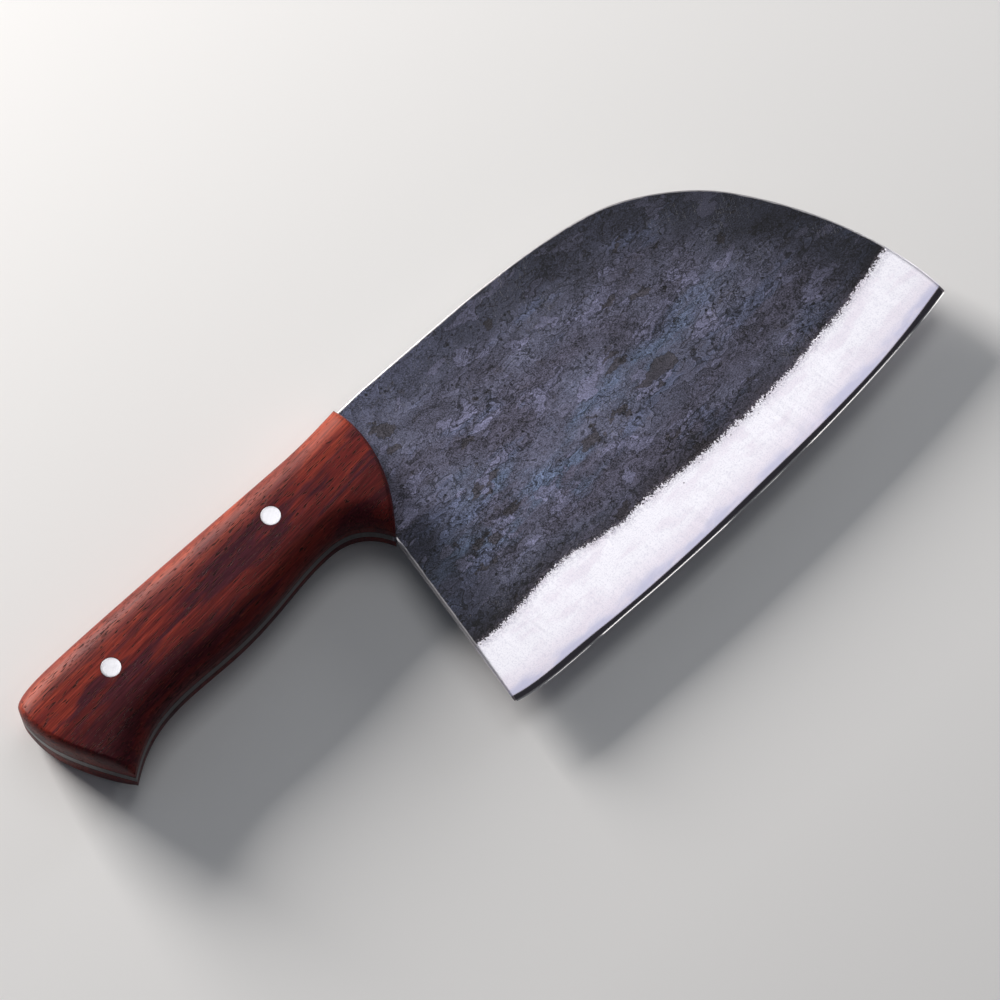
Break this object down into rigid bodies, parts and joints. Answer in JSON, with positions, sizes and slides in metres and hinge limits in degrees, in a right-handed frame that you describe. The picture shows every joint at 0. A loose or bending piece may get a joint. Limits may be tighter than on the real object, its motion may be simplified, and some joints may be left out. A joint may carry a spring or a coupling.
{
  "type": "meat cleaver",
  "caption": "Forged kitchen cleaver with a tall dark blade, a curved nose, a bright ground cutting edge and a full tang between riveted wooden handle scales.",
  "frame": {"origin": "under the middle of the bounding box, on the plane that the left handle scale rests on when the knife lies flat on its left side", "axes": "+X from the butt of the handle towards the tip, +Y from the cutting edge towards the spine, +Z out of the right-hand side of the blade, up when the knife lies on its left side"},
  "size_m": [0.2906, 0.1054, 0.0225],
  "materials": {
    "forged_steel": "dark blue-grey forge scale on the cheeks and spine; bright satin grind along the cutting edge",
    "rosewood": "oiled red-brown rosewood, satin, with dark streaks along the grain",
    "rivet_steel": "satin, ground flush with the wood",
    "adhesive": "dark cured epoxy squeezed to a thin line"
  },
  "bodies": {
    "root": {"blade_and_tang": "forged_steel", "handle_scale_right": "rosewood", "handle_scale_left": "rosewood", "bond_film_right": "adhesive", "bond_film_left": "adhesive", "front_rivet_barrel": "rivet_steel", "front_rivet_pin": "rivet_steel", "rear_rivet_barrel": "rivet_steel", "rear_rivet_pin": "rivet_steel"}
  },
  "joints": []
}
